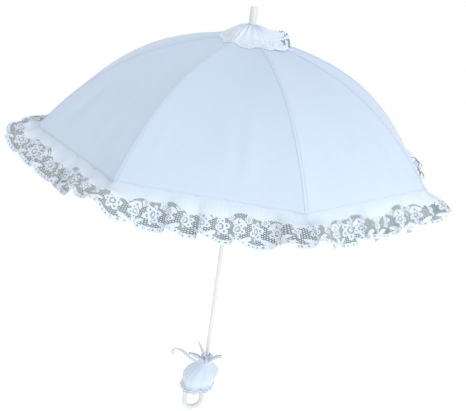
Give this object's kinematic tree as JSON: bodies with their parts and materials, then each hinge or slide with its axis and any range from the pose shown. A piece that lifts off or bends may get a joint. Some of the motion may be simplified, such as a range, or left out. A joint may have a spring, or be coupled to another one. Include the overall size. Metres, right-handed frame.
{
  "type": "lace parasol",
  "caption": "Small open parasol with a white satin canopy in gores, gathered lace round hem and crown, slim shaft, folding rib frame, and a hook handle with satin skirt and bow.",
  "frame": {"origin": "middle of the grip, on the shaft's axis", "axes": "+Z along the shaft towards the ferrule, -X towards the hook's arm, open canopy at rest"},
  "size_m": [0.6612, 0.6612, 0.7097],
  "materials": {
    "white_paint": "semi-gloss white enamel",
    "bright_steel": "bright drawn steel",
    "spring_steel": "plain spring steel",
    "white_plastic": "glossy white moulded plastic",
    "satin": "white satin, soft sheen",
    "lace": "white floral openwork lace",
    "ribbon": "white satin ribbon"
  },
  "bodies": {
    "shaft_and_handle": {"shaft": "white_paint", "top_notch": "white_plastic", "inner_washer": "white_plastic", "crown_washer": "white_plastic", "ferrule": "white_plastic", "crown_frill": "lace", "crook": "white_plastic", "skirt": "satin", "skirt_lace": "lace", "ribbon_band": "ribbon", "bow": "ribbon", "tail_long": "ribbon", "tail_short": "ribbon"},
    "runner": {"runner": "white_plastic"},
    "top_catch": {"top_catch": "spring_steel"},
    "bottom_catch": {"bottom_catch": "spring_steel"},
    "rib_1": {"rib_1": "bright_steel", "rib_tip_1": "white_plastic"},
    "stretcher_1": {"stretcher_1": "bright_steel"},
    "gore_1": {"gore_1": "satin", "ruffle_1": "lace"},
    "rib_2": {"rib_2": "bright_steel", "rib_tip_2": "white_plastic"},
    "stretcher_2": {"stretcher_2": "bright_steel"},
    "gore_2": {"gore_2": "satin", "ruffle_2": "lace"},
    "rib_3": {"rib_3": "bright_steel", "rib_tip_3": "white_plastic"},
    "stretcher_3": {"stretcher_3": "bright_steel"},
    "gore_3": {"gore_3": "satin", "ruffle_3": "lace"},
    "rib_4": {"rib_4": "bright_steel", "rib_tip_4": "white_plastic"},
    "stretcher_4": {"stretcher_4": "bright_steel"},
    "gore_4": {"gore_4": "satin", "ruffle_4": "lace"},
    "rib_5": {"rib_5": "bright_steel", "rib_tip_5": "white_plastic"},
    "stretcher_5": {"stretcher_5": "bright_steel"},
    "gore_5": {"gore_5": "satin", "ruffle_5": "lace"},
    "rib_6": {"rib_6": "bright_steel", "rib_tip_6": "white_plastic"},
    "stretcher_6": {"stretcher_6": "bright_steel"},
    "gore_6": {"gore_6": "satin", "ruffle_6": "lace"},
    "rib_7": {"rib_7": "bright_steel", "rib_tip_7": "white_plastic"},
    "stretcher_7": {"stretcher_7": "bright_steel"},
    "gore_7": {"gore_7": "satin", "ruffle_7": "lace"},
    "rib_8": {"rib_8": "bright_steel", "rib_tip_8": "white_plastic"},
    "stretcher_8": {"stretcher_8": "bright_steel"},
    "gore_8": {"gore_8": "satin", "ruffle_8": "lace"}
  },
  "joints": [
    {"name": "runner_slide", "type": "slide", "parent": "shaft_and_handle", "child": "runner", "axis": [0, 0, 1], "range_m": [-0.1679, 0]},
    {"name": "top_catch_press", "type": "slide", "parent": "shaft_and_handle", "child": "top_catch", "axis": [-0.9239, -0.3827, 0], "range_m": [0, 0.0022], "stiffness_N_per_m": 600, "springref_m": -0.001},
    {"name": "bottom_catch_press", "type": "slide", "parent": "shaft_and_handle", "child": "bottom_catch", "axis": [-0.9239, -0.3827, 0], "range_m": [0, 0.0022], "stiffness_N_per_m": 600, "springref_m": -0.001},
    {"name": "rib_hinge_1", "type": "hinge", "parent": "shaft_and_handle", "child": "rib_1", "pos_m": [0.007, 0, 0.5975], "axis": [0, 1, 0], "range_deg": [0, 58]},
    {"name": "stretcher_hinge_1", "type": "hinge", "parent": "rib_1", "child": "stretcher_1", "pos_m": [0.12885, 0, 0.56552], "axis": [0, 1, 0], "range_deg": [-112.41, 0]},
    {"name": "gore_fold_1", "type": "hinge", "parent": "shaft_and_handle", "child": "gore_1", "pos_m": [0.00647, 0.00268, 0.5975], "axis": [-0.3827, 0.9239, 0], "range_deg": [0, 56.2], "deforming": ["gore_1", "ruffle_1"]},
    {"name": "rib_hinge_2", "type": "hinge", "parent": "shaft_and_handle", "child": "rib_2", "pos_m": [0.00495, 0.00495, 0.5975], "axis": [-0.7071, 0.7071, 0], "range_deg": [0, 58]},
    {"name": "stretcher_hinge_2", "type": "hinge", "parent": "rib_2", "child": "stretcher_2", "pos_m": [0.09111, 0.09111, 0.56552], "axis": [-0.7071, 0.7071, 0], "range_deg": [-112.41, 0]},
    {"name": "gore_fold_2", "type": "hinge", "parent": "shaft_and_handle", "child": "gore_2", "pos_m": [0.00268, 0.00647, 0.5975], "axis": [-0.9239, 0.3827, 0], "range_deg": [0, 56.2], "deforming": ["gore_2", "ruffle_2"]},
    {"name": "rib_hinge_3", "type": "hinge", "parent": "shaft_and_handle", "child": "rib_3", "pos_m": [0, 0.007, 0.5975], "axis": [-1, 0, 0], "range_deg": [0, 58]},
    {"name": "stretcher_hinge_3", "type": "hinge", "parent": "rib_3", "child": "stretcher_3", "pos_m": [0, 0.12885, 0.56552], "axis": [-1, 0, 0], "range_deg": [-112.41, 0]},
    {"name": "gore_fold_3", "type": "hinge", "parent": "shaft_and_handle", "child": "gore_3", "pos_m": [-0.00268, 0.00647, 0.5975], "axis": [-0.9239, -0.3827, 0], "range_deg": [0, 56.2], "deforming": ["gore_3", "ruffle_3"]},
    {"name": "rib_hinge_4", "type": "hinge", "parent": "shaft_and_handle", "child": "rib_4", "pos_m": [-0.00495, 0.00495, 0.5975], "axis": [-0.7071, -0.7071, 0], "range_deg": [0, 58]},
    {"name": "stretcher_hinge_4", "type": "hinge", "parent": "rib_4", "child": "stretcher_4", "pos_m": [-0.09111, 0.09111, 0.56552], "axis": [-0.7071, -0.7071, 0], "range_deg": [-112.41, 0]},
    {"name": "gore_fold_4", "type": "hinge", "parent": "shaft_and_handle", "child": "gore_4", "pos_m": [-0.00647, 0.00268, 0.5975], "axis": [-0.3827, -0.9239, 0], "range_deg": [0, 56.2], "deforming": ["gore_4", "ruffle_4"]},
    {"name": "rib_hinge_5", "type": "hinge", "parent": "shaft_and_handle", "child": "rib_5", "pos_m": [-0.007, 0, 0.5975], "axis": [0, -1, 0], "range_deg": [0, 58]},
    {"name": "stretcher_hinge_5", "type": "hinge", "parent": "rib_5", "child": "stretcher_5", "pos_m": [-0.12885, 0, 0.56552], "axis": [0, -1, 0], "range_deg": [-112.41, 0]},
    {"name": "gore_fold_5", "type": "hinge", "parent": "shaft_and_handle", "child": "gore_5", "pos_m": [-0.00647, -0.00268, 0.5975], "axis": [0.3827, -0.9239, 0], "range_deg": [0, 56.2], "deforming": ["gore_5", "ruffle_5"]},
    {"name": "rib_hinge_6", "type": "hinge", "parent": "shaft_and_handle", "child": "rib_6", "pos_m": [-0.00495, -0.00495, 0.5975], "axis": [0.7071, -0.7071, 0], "range_deg": [0, 58]},
    {"name": "stretcher_hinge_6", "type": "hinge", "parent": "rib_6", "child": "stretcher_6", "pos_m": [-0.09111, -0.09111, 0.56552], "axis": [0.7071, -0.7071, 0], "range_deg": [-112.41, 0]},
    {"name": "gore_fold_6", "type": "hinge", "parent": "shaft_and_handle", "child": "gore_6", "pos_m": [-0.00268, -0.00647, 0.5975], "axis": [0.9239, -0.3827, 0], "range_deg": [0, 56.2], "deforming": ["gore_6", "ruffle_6"]},
    {"name": "rib_hinge_7", "type": "hinge", "parent": "shaft_and_handle", "child": "rib_7", "pos_m": [0, -0.007, 0.5975], "axis": [1, 0, 0], "range_deg": [0, 58]},
    {"name": "stretcher_hinge_7", "type": "hinge", "parent": "rib_7", "child": "stretcher_7", "pos_m": [0, -0.12885, 0.56552], "axis": [1, 0, 0], "range_deg": [-112.41, 0]},
    {"name": "gore_fold_7", "type": "hinge", "parent": "shaft_and_handle", "child": "gore_7", "pos_m": [0.00268, -0.00647, 0.5975], "axis": [0.9239, 0.3827, 0], "range_deg": [0, 56.2], "deforming": ["gore_7", "ruffle_7"]},
    {"name": "rib_hinge_8", "type": "hinge", "parent": "shaft_and_handle", "child": "rib_8", "pos_m": [0.00495, -0.00495, 0.5975], "axis": [0.7071, 0.7071, 0], "range_deg": [0, 58]},
    {"name": "stretcher_hinge_8", "type": "hinge", "parent": "rib_8", "child": "stretcher_8", "pos_m": [0.09111, -0.09111, 0.56552], "axis": [0.7071, 0.7071, 0], "range_deg": [-112.41, 0]},
    {"name": "gore_fold_8", "type": "hinge", "parent": "shaft_and_handle", "child": "gore_8", "pos_m": [0.00647, -0.00268, 0.5975], "axis": [0.3827, 0.9239, 0], "range_deg": [0, 56.2], "deforming": ["gore_8", "ruffle_8"]}
  ],
  "couplings": [
    {"joint": "rib_hinge_1", "follows": "runner_slide", "rad_per_m": -6.0291},
    {"joint": "stretcher_hinge_1", "follows": "runner_slide", "rad_per_m": 11.685},
    {"joint": "gore_fold_1", "follows": "runner_slide", "rad_per_m": -5.842},
    {"joint": "rib_hinge_2", "follows": "runner_slide", "rad_per_m": -6.0291},
    {"joint": "stretcher_hinge_2", "follows": "runner_slide", "rad_per_m": 11.685},
    {"joint": "gore_fold_2", "follows": "runner_slide", "rad_per_m": -5.842},
    {"joint": "rib_hinge_3", "follows": "runner_slide", "rad_per_m": -6.0291},
    {"joint": "stretcher_hinge_3", "follows": "runner_slide", "rad_per_m": 11.685},
    {"joint": "gore_fold_3", "follows": "runner_slide", "rad_per_m": -5.842},
    {"joint": "rib_hinge_4", "follows": "runner_slide", "rad_per_m": -6.0291},
    {"joint": "stretcher_hinge_4", "follows": "runner_slide", "rad_per_m": 11.685},
    {"joint": "gore_fold_4", "follows": "runner_slide", "rad_per_m": -5.842},
    {"joint": "rib_hinge_5", "follows": "runner_slide", "rad_per_m": -6.0291},
    {"joint": "stretcher_hinge_5", "follows": "runner_slide", "rad_per_m": 11.685},
    {"joint": "gore_fold_5", "follows": "runner_slide", "rad_per_m": -5.842},
    {"joint": "rib_hinge_6", "follows": "runner_slide", "rad_per_m": -6.0291},
    {"joint": "stretcher_hinge_6", "follows": "runner_slide", "rad_per_m": 11.685},
    {"joint": "gore_fold_6", "follows": "runner_slide", "rad_per_m": -5.842},
    {"joint": "rib_hinge_7", "follows": "runner_slide", "rad_per_m": -6.0291},
    {"joint": "stretcher_hinge_7", "follows": "runner_slide", "rad_per_m": 11.685},
    {"joint": "gore_fold_7", "follows": "runner_slide", "rad_per_m": -5.842},
    {"joint": "rib_hinge_8", "follows": "runner_slide", "rad_per_m": -6.0291},
    {"joint": "stretcher_hinge_8", "follows": "runner_slide", "rad_per_m": 11.685},
    {"joint": "gore_fold_8", "follows": "runner_slide", "rad_per_m": -5.842}
  ]
}
